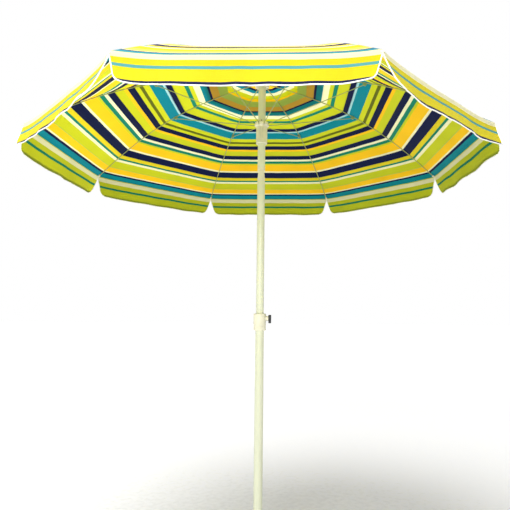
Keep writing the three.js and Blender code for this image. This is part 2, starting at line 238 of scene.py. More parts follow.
# The stripes run round the umbrella. Widths in millimetres, from the valance's edge up to the vent.
STRIPES = [
    (38, "lime"), (13, "jade"), (21, "lime"), (19, "cream"), (3, "lime"), (30, "teal"), (10, "navy"),
    (4.5, "cream"), (32, "gold"), (4.5, "leaf"), (41, "lime"), (13, "cream"), (11, "jade"), (22, "yellow"),
    (41, "navy"), (9, "cream"), (49, "gold"), (11, "lime"), (16, "jade"), (13, "cream"), (27, "navy"),
    (35, "lime"), (14, "gold"), (30, "navy"), (17, "lime"), (12, "olive"), (23, "lime"), (50, "teal"),
    (9, "ice"), (25, "navy"), (45, "lime"), (16, "jade"), (19, "lime"), (28, "cream"), (27, "teal"),
    (9, "navy"), (36, "ochre"), (60, "leaf"),
]
# The print's dark edge is outside only, because the hem is turned under.
STRIPES_OUTSIDE = [(9, "navy"), (29, "lime"), *STRIPES[1:]]
# The vent's cap is cut from another stretch of the print.
CAP_STRIPES = [
    (14, "leaf"), (30, "lime"), (16, "teal"), (26, "gold"), (28, "lime"), (20, "cream"), (21, "teal"),
    (14, "navy"), (34, "gold"), (60, "yellow"),
]
# Each dye from inside, where light comes through the cloth, and from outside.
DYES_INSIDE = {
    "lime": srgb(202, 218, 60), "yellow": srgb(224, 216, 60), "gold": srgb(246, 208, 44),
    "cream": srgb(240, 240, 208), "teal": srgb(0, 162, 168), "jade": srgb(30, 150, 118),
    "navy": srgb(14, 36, 96), "leaf": srgb(188, 212, 108), "olive": srgb(120, 128, 44),
    "ice": srgb(190, 226, 226), "ochre": srgb(226, 190, 72),
}
DYES_OUTSIDE = {
    "lime": srgb(250, 228, 20), "yellow": srgb(250, 232, 30), "gold": srgb(252, 238, 120),
    "cream": srgb(250, 246, 222), "teal": srgb(60, 178, 200), "jade": srgb(112, 200, 208),
    "navy": srgb(30, 34, 96), "leaf": srgb(206, 222, 120), "olive": srgb(170, 178, 90),
    "ice": srgb(206, 232, 226), "ochre": srgb(240, 206, 84),
}
RAMP_STOPS = 30                # a colour ramp holds 32 stops at most, so the stripes take two


def stripe_colour(n, along, stripes, dyes):
    """The stripes' colour from along, the distance in metres from the valance's edge."""
    edges, length = [], 0.0
    for width, dye in stripes:
        edges.append((length, dyes[dye]))
        length += width / 1000
    ramps = []
    for first in range(0, len(edges), RAMP_STOPS):
        ramp = n.node("ValToRGB")
        ramp.color_ramp.interpolation = "CONSTANT"
        stops = edges[first:first + RAMP_STOPS]
        elements = ramp.color_ramp.elements
        while len(elements) > 1:
            elements.remove(elements[0])
        elements[0].position = stops[0][0] / length
        elements[0].color = (*stops[0][1], 1)
        for place, colour in stops[1:]:
            elements.new(place / length).color = (*colour, 1)
        n.link(n.maths("DIVIDE", along, length), ramp.inputs["Fac"])
        ramps.append((stops[0][0], ramp.outputs["Color"]))
    colour = ramps[0][1]
    for start, upper in ramps[1:]:
        colour = n.mix(n.maths("GREATER_THAN", along, start), colour, upper)
    return colour


GLOW = 0.62                    # share of the light that a face of the cloth lets through


def cloth_material(name, stripes, dyes):
    """Woven canvas with the stripes printed across it; its UV map holds metres of cloth."""
    n = Nodes(name)
    place = n.node("UVMap", uv_map="cloth").outputs["UV"]
    split = n.node("SeparateXYZ")
    n.link(place, split.inputs["Vector"])
    # the printed edges wander a little, as the cloth was drawn tight over its seams
    wander = n.ranged(n.noise(n.mapped(place, (3, 14, 1)), 1.0, 2.0), -0.0012, 0.0012)
    along = n.maths("ADD", split.outputs["X"], wander)
    colour = stripe_colour(n, along, stripes, dyes)
    faded = n.ranged(n.noise(place, 5.0, 4.0), 0.90, 1.06)
    fine = n.ranged(n.noise(place, 420.0, 2.0), 0.965, 1.03)
    shade = n.maths("MULTIPLY", faded, fine)
    gray = n.node("CombineColor")
    for socket in gray.inputs:
        n.link(shade, socket)
    colour = n.mix(1.0, colour, gray.outputs["Color"], "MULTIPLY")
    n.link(colour, n.shader.inputs["Base Color"])
    n.set(Sheen_Weight=0.12, Sheen_Roughness=0.5, Specular_IOR_Level=0.25)
    n.link(n.ranged(n.noise(place, 60.0), 0.74, 0.9), n.shader.inputs["Roughness"])
    warp = n.node("TexWave", wave_type="BANDS", bands_direction="X")
    weft = n.node("TexWave", wave_type="BANDS", bands_direction="Y")
    for wave in (warp, weft):
        wave.inputs["Scale"].default_value = 260.0
        wave.inputs["Distortion"].default_value = 0.6
        n.link(place, wave.inputs["Vector"])
    weave = n.maths("MULTIPLY", warp.outputs["Fac"], weft.outputs["Fac"])
    # puckers where the valance is gathered by its binding
    puckers = n.noise(n.mapped(place, (9, 75, 1)), 1.0, 2.0)
    near_hem = n.ranged(split.outputs["X"], 1.0, 0.0, 0.03, 0.13)
    relief = n.maths("ADD", n.maths("MULTIPLY", weave, 0.03), n.maths("MULTIPLY", puckers, near_hem))
    n.bump(relief, 0.6, 0.004)
    glow = n.node("BsdfTranslucent")
    n.link(colour, glow.inputs["Color"])
    blend = n.node("MixShader")
    blend.inputs["Fac"].default_value = GLOW
    n.link(n.shader.outputs["BSDF"], blend.inputs[1])
    n.link(glow.outputs["BSDF"], blend.inputs[2])
    n.link(blend.outputs["Shader"], n.tree.nodes["Material Output"].inputs["Surface"])
    return n.material


def tape_material(name, colour):
    """Folded binding tape: a fine herringbone, slightly soiled."""
    n = Nodes(name)
    place = n.node("TexCoord").outputs["Object"]
    soil = n.ranged(n.noise(place, 18.0, 4.0), 0.0, 0.35, 0.45, 0.8)
    n.link(n.mix(soil, colour, darker(colour, 0.82)), n.shader.inputs["Base Color"])
    n.set(Sheen_Weight=0.15, Specular_IOR_Level=0.25)
    n.link(n.ranged(n.noise(place, 90.0), 0.7, 0.92), n.shader.inputs["Roughness"])
    wave = n.node("TexWave", wave_type="BANDS", bands_direction="DIAGONAL")
    wave.inputs["Scale"].default_value = 420.0
    n.link(place, wave.inputs["Vector"])
    n.bump(wave.outputs["Fac"], 0.3, 0.0003)
    return n.material


def paint_material(name, colour, roughness, metallic=0.0):
    """Powder coat or enamel: orange-peel bump, with faint scuffs that are duller than the rest."""
    n = Nodes(name)
    place = n.node("TexCoord").outputs["Object"]
    scuffs = n.noise(n.mapped(place, (60, 60, 6)), 1.0, 5.0, 0.6)
    worn = n.ranged(scuffs, 0.0, 1.0, 0.56, 0.74)
    dulled = n.mix(n.maths("MULTIPLY", worn, 0.5), colour, darker(colour, 0.78))
    n.link(dulled, n.shader.inputs["Base Color"])
    n.link(n.maths("ADD", n.maths("MULTIPLY", worn, 0.22), roughness), n.shader.inputs["Roughness"])
    n.set(Metallic=metallic, Coat_Weight=0.15, Coat_Roughness=0.3)
    n.bump(n.noise(place, 900.0, 2.0), 0.12, 0.0004)
    return n.material


def plastic_material(name, colour, roughness=0.42):
    """Moulded plastic: fine spark-eroded grain, with a slight cloudiness in the colour."""
    n = Nodes(name)
    place = n.node("TexCoord").outputs["Object"]
    cloud = n.ranged(n.noise(place, 30.0, 3.0), 0.0, 1.0, 0.35, 0.7)
    n.link(n.mix(cloud, colour, darker(colour, 0.88)), n.shader.inputs["Base Color"])
    n.link(n.ranged(n.noise(place, 240.0), roughness - 0.06, roughness + 0.1), n.shader.inputs["Roughness"])
    n.set(Specular_IOR_Level=0.45, Subsurface_Weight=0.06, Subsurface_Radius=(0.004, 0.004, 0.003))
    n.bump(n.noise(place, 1600.0, 2.0), 0.1, 0.0002)
    return n.material


def steel_material(name):
    """Zinc-plated wire and pin steel, drawn along its length."""
    n = Nodes(name)
    place = n.node("TexCoord").outputs["Object"]
    streaks = n.noise(n.mapped(place, (900, 900, 40)), 1.0, 3.0)
    shade = n.ranged(streaks, 0.0, 1.0, 0.3, 0.8)
    n.link(n.mix(shade, (0.66, 0.67, 0.69), (0.5, 0.51, 0.53)), n.shader.inputs["Base Color"])
    n.link(n.ranged(streaks, 0.26, 0.46), n.shader.inputs["Roughness"])
    n.set(Metallic=1.0)
    n.bump(streaks, 0.08, 0.0002)
    return n.material


def floor_material(name, colour):
    """Pale paper with a painted glow that grows with distance, so that it fades into the backdrop far off."""
    material = plastic_material(name, colour, 0.8)
    tree = material.node_tree
    shader = tree.nodes["Principled BSDF"]
    shader.inputs["Emission Color"].default_value = (1, 1, 1, 1)
    place = tree.nodes.new("ShaderNodeTexCoord")
    distance = tree.nodes.new("ShaderNodeVectorMath")
    distance.operation = "LENGTH"
    # painted glow: the floor's emission grows with its distance from the centre
    painted_glow = tree.nodes.new("ShaderNodeMapRange")
    for key, number in (("From Min", 1.0), ("From Max", 9.0), ("To Min", 0.15), ("To Max", 0.9)):
        painted_glow.inputs[key].default_value = number
    tree.links.new(place.outputs["Object"], distance.inputs[0])
    tree.links.new(distance.outputs["Value"], painted_glow.inputs["Value"])
    tree.links.new(painted_glow.outputs["Result"], shader.inputs["Emission Strength"])
    return material


canvas_outside = cloth_material("canvas_outside", STRIPES_OUTSIDE, DYES_OUTSIDE)
canvas_inside = cloth_material("canvas_inside", STRIPES, DYES_INSIDE)
cap_outside = cloth_material("cap_outside", CAP_STRIPES, DYES_OUTSIDE)
cap_inside = cloth_material("cap_inside", CAP_STRIPES, DYES_INSIDE)
white_tape = tape_material("white_tape", srgb(246, 246, 240))
pole_paint = paint_material("white_pole_paint", srgb(220, 223, 196), 0.34)
# the ribs' and stretchers' colour is grey wire with painted shade: darkened and tinted olive as under the
# green-lit canopy
wire_paint_painted_shade = paint_material("rib_paint", srgb(160, 170, 104), 0.36, 0.1)
ivory = plastic_material("ivory_plastic", srgb(236, 232, 208))
dark = plastic_material("dark_plastic", srgb(46, 48, 50), 0.5)
steel = steel_material("bright_steel")
paper = floor_material("floor_paper", srgb(238, 238, 236))

# ---------------------------------------------------------------- mesh helpers


def make(name, points, faces, materials, smooth=True):
    """An object in the scene from its points and faces."""
    mesh = bpy.data.meshes.new(name)
    mesh.from_pydata([tuple(p) for p in points], [], faces)
    for material in materials:
        mesh.materials.append(material)
    mesh.polygons.foreach_set("use_smooth", [smooth] * len(mesh.polygons))
    mesh.update()
    obj = bpy.data.objects.new(name, mesh)
    bpy.context.scene.collection.objects.link(obj)
    return obj


def grid_faces(rows, columns, first=0):
    """Quads of a rows by columns grid of points."""
    return [(first + r * columns + c, first + r * columns + c + 1,
             first + (r + 1) * columns + c + 1, first + (r + 1) * columns + c)
            for r in range(rows - 1) for c in range(columns - 1)]


def edited(obj, change):
    """Runs change on an object's mesh."""
    b = bmesh.new()
    b.from_mesh(obj.data)
    change(b)
    b.to_mesh(obj.data)
    b.free()
    return obj


def outward(obj):
    """Turns a closed mesh's faces to point out."""
    return edited(obj, lambda b: bmesh.ops.recalc_face_normals(b, faces=b.faces))


def crease(obj, degrees=35):
    """Keeps edges sharper than an angle as edges in the shading."""
    def sharpen(b):
        for edge in b.edges:
            if len(edge.link_faces) == 2 and edge.calc_face_angle() > math.radians(degrees):
                edge.smooth = False
    return edited(obj, sharpen)


def turned(name, profile, material, segments=64):
    """A shape turned about the Z axis; points on the axis close it, and otherwise it closes on itself."""
    closes_on_itself = profile[0][0] > 0
    rows, points = [], []
    for radius, z in profile:
        if radius == 0:
            rows.append([len(points)])
            points.append((0, 0, z))
        else:
            rows.append(list(range(len(points), len(points) + segments)))
            points += [(radius * math.cos(a), radius * math.sin(a), z)
                       for a in (2 * math.pi * k / segments for k in range(segments))]
    faces = []
    pairs = list(zip(rows, rows[1:])) + ([(rows[-1], rows[0])] if closes_on_itself else [])
    for low, high in pairs:
        for k in range(segments):
            corners = [low[k % len(low)], low[(k + 1) % len(low)],
                       high[(k + 1) % len(high)], high[k % len(high)]]
            corners = list(dict.fromkeys(corners))        # a point on the axis counts once
            if len(corners) > 2:
                faces.append(corners)
    return crease(outward(make(name, points, faces, [material])))


def tube(name, points, radius, material, sides=8):
    """A capped tube along points."""
    points = [Vector(p) for p in points]
    last = len(points) - 1
    tangents = [(points[min(i + 1, last)] - points[max(i - 1, 0)]).normalized() for i in range(last + 1)]
    side = tangents[0].orthogonal().normalized()
    skin, faces = [], []
    for point, tangent in zip(points, tangents):
        side = (side - tangent * side.dot(tangent)).normalized()
        other = tangent.cross(side)
        for k in range(sides):
            angle = 2 * math.pi * k / sides
            skin.append(point + (side * math.cos(angle) + other * math.sin(angle)) * radius)
    for i in range(last):
        for k in range(sides):
            a, b = i * sides + k, i * sides + (k + 1) % sides
            faces.append((a, b, b + sides, a + sides))
    faces.append(list(range(sides))[::-1])
    faces.append([last * sides + k for k in range(sides)])
    return crease(outward(make(name, skin, faces, [material])))


def rounded(obj, width, segments=2):
    """Bevels an object's sharp edges, and bakes the bevel in."""
    bevel = obj.modifiers.new("edges", "BEVEL")
    bevel.width, bevel.segments = width, segments
    bevel.limit_method, bevel.angle_limit = "ANGLE", math.radians(40)
    return baked(obj)


def baked(obj):
    """Applies an object's modifiers."""
    graph = bpy.context.evaluated_depsgraph_get()
    mesh = bpy.data.meshes.new_from_object(obj.evaluated_get(graph))
    obj.modifiers.clear()
    obj.data = mesh
    return obj


def combine(obj, other, operation):
    """Joins or cuts one closed mesh with another, which is then removed."""
    change = obj.modifiers.new("change", "BOOLEAN")
    change.operation, change.object, change.solver = operation, other, "EXACT"
    baked(obj)
    bpy.data.objects.remove(other)
    return obj


def prism(name, outline, low, high, material, axis="Y"):
    """A flat outline of (x, z) points, or (x, y) with axis Z, made thick from low to high along axis."""
    count = len(outline)
    place = (lambda p, q: (p[0], q, p[1])) if axis == "Y" else (lambda p, q: (p[0], p[1], q))
    points = [place(p, low) for p in outline] + [place(p, high) for p in outline]
    faces = [list(range(count)), list(range(count, 2 * count))[::-1]]
    faces += [(k, (k + 1) % count, (k + 1) % count + count, k + count) for k in range(count)]
    return outward(make(name, points, faces, [material], smooth=False))


def block(name, x, y, z):
    """A box of ivory plastic from its (low, high) along each axis."""
    return prism(name, [(x[0], z[0]), (x[1], z[0]), (x[1], z[1]), (x[0], z[1])], y[0], y[1], ivory)


def turn_to(obj, angle):
    """Turns an object made along +X to a rib's direction."""
    obj.data.transform(Matrix.Rotation(angle, 4, "Z"))
    obj.data.update()
    return obj


def finish_piece(obj, body, *replaced, slot):
    """Puts a piece on its body, in place of the nodes that it replaces."""
    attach(obj, body)
    if replaced:
        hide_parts(*replaced)

# ---------------------------------------------------------------- the rib's curve


CURVE = [np.array(p) for p in RIB_POINTS]


def rib_point(t):
    """The (radius, height) of a rib's middle, with t from 0 at the hub to 1 at the tip."""
    (a, b, c, d), s = CURVE, 1 - t
    return s ** 3 * a + 3 * t * s * s * b + 3 * t * t * s * c + t ** 3 * d


def rib_direction(t):
    (a, b, c, d), s = CURVE, 1 - t
    way = s * s * (b - a) + 2 * t * s * (c - b) + t * t * (d - c)
    return way / np.linalg.norm(way)


def rib_parameter(radius):
    """The t at which a rib reaches a radius."""
    low, high = 0.0, 1.0
    for _ in range(40):
        middle = (low + high) / 2
        if rib_point(middle)[0] < radius:
            low = middle
        else:
            high = middle
    return low


def above_rib(t, height):
    """The (radius, height) of a point square above the rib's middle."""
    way = rib_direction(t)
    return rib_point(t) + np.array([-way[1], way[0]]) * height

# ---------------------------------------------------------------- cloth


ACROSS = 17                    # points from a rib to a panel's middle
ROWS = 44                      # points from the vent to the fold
DROP_ROWS = 16                 # points down the valance
UP = np.array([0.0, 0.0, 1.0])

SAG_VENT, SAG_FOLD, SAG_FRONT = 0.002, 0.003, 0.007
WRINKLE = 0.0012               # unevenness of a panel
SWELL, FLUTTER = 0.010, 0.003  # long and short waves of a valance's edge
FRONT_FLARE = 0.010            # how much more the front valance stands out, and how much less the back one

JOINED = 2 / DROP_ROWS         # share of a valance's height where its ends are still sewn to the next ones
CORNER = 0.26                  # share of its height that the rounded corner takes
END_INSET, CORNER_INSET = 0.026, 0.022


def facing_front(panel):
    """1 for the front panel, number 0, and 0 for the one at the back."""
    return 0.5 + 0.5 * math.cos(2 * HALF * panel)


def sag(down, across, panel):
    """How far a panel hangs inwards of a straight line between its ribs; a breeze presses the front ones in.
    down is 0 at the vent and 1 at the fold; across is 0 at the panel's middle and 1 at a rib."""
    return (SAG_VENT + (SAG_FOLD + SAG_FRONT * facing_front(panel)) * down) * (1 - abs(across) ** 4.5)


def ripple(panel, across, scale, seed):
    """Smooth waviness along a panel's edge that is the same from both ribs' sides of its middle."""
    return noise.noise(Vector((across * scale + 7.3 * panel, seed, 0.37 * panel)))


def valance_end(share):
    """How far the valance's end stands in from its rib, share of the way down."""
    inset = END_INSET * max(0.0, share - JOINED) / (1 - JOINED)
    if share > 1 - CORNER:
        inset += CORNER_INSET * (1 - math.sqrt(max(0.0, 1 - ((share - 1 + CORNER) / CORNER) ** 2)))
    return inset


def printed(place, panel):
    """Where on the print a point of the cloth is: the front panels were cut further up the stripes."""
    past_navy = min(1.0, max(0.0, (place - NAVY_HEM) / LIME_HEM))
    return place - CUT_SHIFT * facing_front(panel) ** 2 * past_navy


def half_panel_axes(side):
    """The way out along a panel's middle and the way from there to its rib, in the rib's frame."""
    turn = side * HALF
    out_way = np.array([math.cos(turn), math.sin(turn), 0])
    across_way = np.array([-math.sin(turn), math.cos(turn), 0]) * -side
    return out_way, across_way


def lengths_along(params):
    """How far along a panel's middle each of the params is from the fold."""
    lengths, last = [0.0], None
    for t in params:
        radius, height = above_rib(t, CLOTH_LIFT)
        place = np.array([radius * math.cos(HALF), height])
        if last is not None:
            lengths.append(lengths[-1] + np.linalg.norm(place - last))
        last = place
    return lengths


def panel_rows(side, panel):
    """Rows of (point, stripe place, across) from the fold to the vent."""
    out_way, across_way = half_panel_axes(side)
    fold, vent = rib_parameter(HEM_R), rib_parameter(VENT_R)
    params = [fold + (vent - fold) * k / (ROWS - 1) for k in range(ROWS)]
    rows = []
    for k, (t, length) in enumerate(zip(params, lengths_along(params))):
        r, z = above_rib(t, CLOTH_LIFT + TIP_LIFT * max(0.0, 1 - k / 3))
        way = rib_direction(t)
        mid = r * math.cos(HALF)
        inward = out_way * way[1] - UP * way[0]
        inward = inward / np.linalg.norm(inward)
        down = 1 - k / (ROWS - 1)
        row = []
        for c in range(ACROSS):
            across = c / (ACROSS - 1)
            y = across * mid * math.tan(HALF)
            p = out_way * mid + across_way * y + UP * z + inward * sag(down, across, panel)
            wrinkle = WRINKLE * noise.noise(Vector((panel * 5.7, side * across * 2.4, k * 0.11)))
            p = p + inward * wrinkle * (1 - across ** 4)
            row.append((p, printed(VALANCE + length, panel), side * y))
        rows.append(row)
    return rows


def valance_rows(side, panel, fold_row):
    """Rows of (point, stripe place, across) down the valance that hangs from the fold."""
    out_way, across_way = half_panel_axes(side)
    width = HEM_R * math.sin(HALF)
    most_flare = VALANCE_FLARE + FRONT_FLARE * math.cos(2 * HALF * panel)
    rows = []
    for k in range(1, DROP_ROWS + 1):
        share = k / DROP_ROWS
        end = width - valance_end(share)
        place = printed(VALANCE * (1 - share), panel)
        row = []
        for p, _, y in fold_row:
            y_here = abs(y) * end / width
            across = y_here * side / width
            wave = ripple(panel, across, 3.2, 2.0) * SWELL + ripple(panel, across, 9.0, 5.0) * FLUTTER
            flare = most_flare * share ** 1.3 + wave * share ** 1.5
            drop = VALANCE * share * (0.98 + 0.03 * ripple(panel, across, 4.1, 11.0))
            p = p - across_way * (abs(y) - y_here) - UP * drop + out_way * flare
            row.append((p, place, side * y_here))
        rows.append(row)
    return rows


def sector(side, panel):
    """Rows from the valance's edge to the vent, for the half panel on one side of a rib, in the rib's frame.
    side is 1 towards the next rib and -1 towards the last."""
    rows = panel_rows(side, panel)
    return valance_rows(side, panel, rows[0])[::-1] + rows


def joined_halves(left, right):
    """Points, their places on the print, and faces of two half panels that meet at their rib.
    The columns at the rib are double, so the faces between them are left out."""
    points, places = [], []
    columns = 2 * ACROSS
    for a, b in zip(left, right):
        for point, along, across in a + b[::-1]:
            points.append(point)
            places.append((along, across))
    faces = [f for f in grid_faces(len(left), columns) if f[0] % columns != ACROSS - 1]
    return points, places, faces


def cloth_sheet(name, points, places, faces, outside, inside):
    """A thick sheet, its two halves sewn together where they touch, with the print's places as its UV map."""
    def sew(b):
        bmesh.ops.remove_doubles(b, verts=b.verts, dist=1e-5)
        b.normal_update()
        if sum(f.normal.z for f in b.faces) < 0:
            bmesh.ops.reverse_faces(b, faces=b.faces)

    obj = make(name, points, faces, [outside, inside])
    layer = obj.data.uv_layers.new(name="cloth")
    for loop in obj.data.loops:
        layer.data[loop.index].uv = places[loop.vertex_index]
    edited(obj, sew)
    thick = obj.modifiers.new("thickness", "SOLIDIFY")
    thick.thickness, thick.offset = CLOTH, 0
    thick.material_offset, thick.material_offset_rim = 1, 0
    return crease(baked(obj), 50)


def gathered(obj):
    """Gives the cloth a mesh of its own."""
    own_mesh(obj)


def canopy_sector(i):
    """The cloth about rib i, with white tape folded over its half valances' edges."""
    # the panel after rib i is number i + 1, and the one before it is number i
    left, right = sector(-1, i), sector(1, (i + 1) % RIBS)
    points, places, faces = joined_halves(left, right)
    canopy = cloth_sheet(f"canopy_cloth_{i + 1}", points, places, faces, canvas_outside, canvas_inside)
    turn_to(canopy, rib_angle(i))
    tapes = []
    for letter, half in (("a", left), ("b", right)):
        edge = [half[0][c][0] for c in range(ACROSS)] + [half[r][ACROSS - 1][0] for r in range(1, DROP_ROWS)]
        tapes.append(turn_to(tube(f"valance_tape_{i + 1}_{letter}", edge, TAPE, white_tape), rib_angle(i)))
    finish_piece(canopy, f"rib_{i + 1}", f"canopy_{i + 1}", slot="striped_canvas")
    gathered(canopy)
    for tape in tapes:
        finish_piece(tape, f"rib_{i + 1}", slot="striped_canvas")
        gathered(tape)


CAP_ROWS = 18
CAP_SAG, CAP_WAVE = 0.003, 0.006


def cap_half(side, panel):
    """Rows of (point, stripe place, across) for half a panel of the vent's cap, from its edge inwards."""
    out_way, across_way = half_panel_axes(side)
    edge, rows = CAP_EDGE_R * math.cos(HALF), []
    for k in range(CAP_ROWS):
        share = 1 - k / (CAP_ROWS - 1)
        r = CAP_INNER + (edge - CAP_INNER) * share
        z = CAP_CENTRE_Z - (CAP_CENTRE_Z - CAP_EDGE_Z) * (r / edge) ** 2
        row = []
        for c in range(ACROSS):
            across = c / (ACROSS - 1)
            y = across * r * math.tan(HALF)
            wave = ripple(panel, side * across, 1.7, 9.0) * CAP_WAVE * share ** 2
            lift = -CAP_SAG * share * (1 - across ** 2) + wave * (1 - across ** 3)
            p = out_way * r + across_way * y + np.array([0, 0, z + lift])
            row.append((p, edge - r, side * y))
        rows.append(row)
    return rows


def cap_sector(i):
    """The vent cap's cloth about rib i, with white tape along its edge."""
    left, right = cap_half(-1, i), cap_half(1, (i + 1) % RIBS)
    points, places, faces = joined_halves(left, right)
    cap = cloth_sheet(f"vent_cap_cloth_{i + 1}", points, places, faces, cap_outside, cap_inside)
    turn_to(cap, rib_angle(i))
    edge = [left[0][c][0] for c in range(ACROSS)] + [right[0][c][0] for c in range(ACROSS - 2, -1, -1)]
    hem = turn_to(tube(f"vent_cap_hem_{i + 1}", edge, CAP_TAPE, white_tape), rib_angle(i))
    finish_piece(cap, f"rib_{i + 1}", f"vent_cap_{i + 1}", slot="striped_cap_canvas")
    gathered(cap)
    finish_piece(hem, f"rib_{i + 1}", slot="striped_cap_canvas")
    gathered(hem)


for i in range(RIBS):
    canopy_sector(i)
for i in range(RIBS):
    cap_sector(i)

# ---------------------------------------------------------------- looks of the nodes kept from the frame

SLOT_MATERIALS = {
    "white_pole_paint": pole_paint, "rib_paint": wire_paint_painted_shade, "ivory_plastic": ivory,
    "dark_plastic": dark, "bright_steel": steel,
}
for entry in frame["record"]["subparts"]:
    material = SLOT_MATERIALS.get(entry["material_slot"])
    if material:
        obj = nodes[entry["node"]]
        obj.data.materials.clear()
        obj.data.materials.append(material)

# ---------------------------------------------------------------- ground pole and its clamp

POLE_TOP, SPIKE_H, SPIKE_PLUG, MAST_FOOT = 1.070, 0.072, 0.048, 0.680
POLE_BORE, MAST_BORE = POLE_R - 0.0013, MAST_R - 0.0014
COLLAR_R, COLLAR_BOTTOM, COLLAR_TOP, SCREW_Z = 0.026, 1.040, 1.110, 1.090
GROOVE_LOW, GROOVE_HIGH, GROOVE_DEEP, GROOVE_SLOPE = 1.0555, 1.0585, 0.0008, 0.0007
BOSS_R, BOSS_OUT, SCREW_HOLE_R = 0.010, COLLAR_R + 0.010, 0.0045


def arc(x, z, radius, first, last, count=5):
    """Points on an arc, its angles in degrees."""
    angles = [math.radians(first + (last - first) * k / count) for k in range(count + 1)]
    return [(x + radius * math.cos(a), z + radius * math.sin(a)) for a in angles]


def pipe(name, outer, inner, low, high, material, lip=0.0006):
    """A tube about Z with rounded ends."""
    return turned(name, [
        (inner, low), *arc(outer - lip, low + lip, lip, -90, 0),
        *arc(outer - lip, high - lip, lip, 0, 90), (inner, high)], material)


ALONG = {"X": Matrix.Rotation(math.pi / 2, 4, "Y"), "Y": Matrix.Rotation(-math.pi / 2, 4, "X")}


def rod(name, radius, low, high, z, material, axis="X"):
    """A round bar along X or Y at a height, with a small bevel."""
    edge = min(0.0006, radius / 4)
    bar = turned(name, [
        (0, low), (radius - edge, low), (radius, low + edge),
        (radius, high - edge), (radius - edge, high), (0, high)], material, 48)
    bar.data.transform(Matrix.Translation((0, 0, z)) @ ALONG[axis])
    return bar


def ground_spike():
    """A blunt point that swells to the pole's width, with a plug that fills the pole's end."""
    point_r, shoulder_r, lip = 0.0041, POLE_R - 0.0025, 0.0004
    flank = [(point_r + (POLE_R - 0.0066) * t ** 0.92, 0.001 + (SPIKE_H - 0.013) * t)
             for t in (k / 12 for k in range(1, 13))]
    return turned("spike", [
        (0, 0), *arc(0.0032, 0.0009, 0.0009, -90, 0, 3), *flank,
        *arc(shoulder_r, SPIKE_H - 0.0095, 0.0025, -10, 0, 3),
        (POLE_R, SPIKE_H - lip), (POLE_R - lip, SPIKE_H), (POLE_BORE - GAP, SPIKE_H),
        (POLE_BORE - GAP, SPIKE_H + SPIKE_PLUG), (0, SPIKE_H + SPIKE_PLUG)], ivory)


def clamp_collar():
    """The cap over the ground pole's top, with a groove round it and a threaded boss for the screw."""
    edge, shoulder = 0.002, 0.005
    collar = turned("collar", [
        (COLLAR_R - edge, COLLAR_BOTTOM), *arc(COLLAR_R - edge, COLLAR_BOTTOM + edge, edge, -80, 0, 4),
        (COLLAR_R, GROOVE_LOW), (COLLAR_R - GROOVE_DEEP, GROOVE_LOW + GROOVE_SLOPE),
        (COLLAR_R - GROOVE_DEEP, GROOVE_HIGH - GROOVE_SLOPE), (COLLAR_R, GROOVE_HIGH),
        *arc(COLLAR_R - shoulder, COLLAR_TOP - shoulder, shoulder, 0, 82, 8),
        (MAST_R + GAP, COLLAR_TOP), (MAST_R + GAP, POLE_TOP + GAP), (POLE_R + GAP, POLE_TOP + GAP),
        (POLE_R + GAP, COLLAR_BOTTOM)], ivory)
    combine(collar, rod("boss", BOSS_R, COLLAR_R - 0.005, BOSS_OUT, SCREW_Z, ivory), "UNION")
    combine(collar, rod("bore", SCREW_HOLE_R, MAST_R - 0.002, BOSS_OUT + 0.004, SCREW_Z, ivory), "DIFFERENCE")
    return crease(rounded(collar, 0.0007))


KNOB_X, KNOB_R, KNOB_THICK = BOSS_OUT + GAP, 0.020, 0.011
LOBES, LOBE_DEPTH, KNOB_POINTS = 3, 0.16, 96
SCREW_R, DISH_R, DISH_DEEP = 0.004, 0.0095, 0.0012


def clamp_knob():
    """A three-lobed knob with a shallow dish in its face, on the screw that bears on the mast."""
    lobes = []
    for a in (2 * math.pi * k / KNOB_POINTS for k in range(KNOB_POINTS)):
        radius = KNOB_R * (1 - LOBE_DEPTH + LOBE_DEPTH * math.cos(LOBES * a))
        lobes.append((radius * math.cos(a), radius * math.sin(a)))
    knob = prism("clamp_knob", lobes, 0, KNOB_THICK, dark, axis="Z")
    knob.data.transform(Matrix.Translation((KNOB_X, 0, SCREW_Z)) @ ALONG["X"])
    crease(rounded(knob, 0.0016, 4), 50)
    face = KNOB_X + KNOB_THICK
    combine(knob, rod("dish", DISH_R, face - DISH_DEEP, face + 0.003, SCREW_Z, dark), "DIFFERENCE")
    combine(knob, rod("shaft", SCREW_R, MAST_R + 0.0005, KNOB_X + 0.0057, SCREW_Z, dark), "UNION")
    knob.data.polygons.foreach_set("use_smooth", [True] * len(knob.data.polygons))
    return crease(knob, 30)


finish_piece(ground_spike(), "ground_pole", "ground_spike", slot="ivory_plastic")
finish_piece(pipe("ground_tube", POLE_R, POLE_BORE, SPIKE_H + GAP, POLE_TOP, pole_paint),
             "ground_pole", "lower_pole", slot="white_pole_paint")
finish_piece(clamp_collar(), "ground_pole", "clamp_collar", slot="ivory_plastic")
finish_piece(clamp_knob(), "clamp_screw", "clamp_screw", slot="dark_plastic")

# ---------------------------------------------------------------- mast on both sides of the tilt joint

TILT_REACH = 0.0283            # how far the tilt joint's two halves reach up and down the mast
MAST_TOP = RIM_Z + 0.332
STOP_PIN_Z, STOP_PIN_HOLE_R = RIM_Z + 0.151, 0.0023

finish_piece(pipe("mast_lower", MAST_R, MAST_BORE, MAST_FOOT, TILT_Z - TILT_REACH, pole_paint),
             "mast_lower", "mast_lower_tube", slot="white_pole_paint")
upper = pipe("mast_upper", MAST_R, MAST_BORE, TILT_Z + TILT_REACH, MAST_TOP, pole_paint)
hole = rod("hole", STOP_PIN_HOLE_R, -MAST_R - 0.002, -0.010, STOP_PIN_Z, pole_paint, "Y")
combine(upper, hole, "DIFFERENCE")
finish_piece(crease(upper), "mast_upper", "mast_upper_tube", slot="white_pole_paint")

# ---------------------------------------------------------------- hub and finial

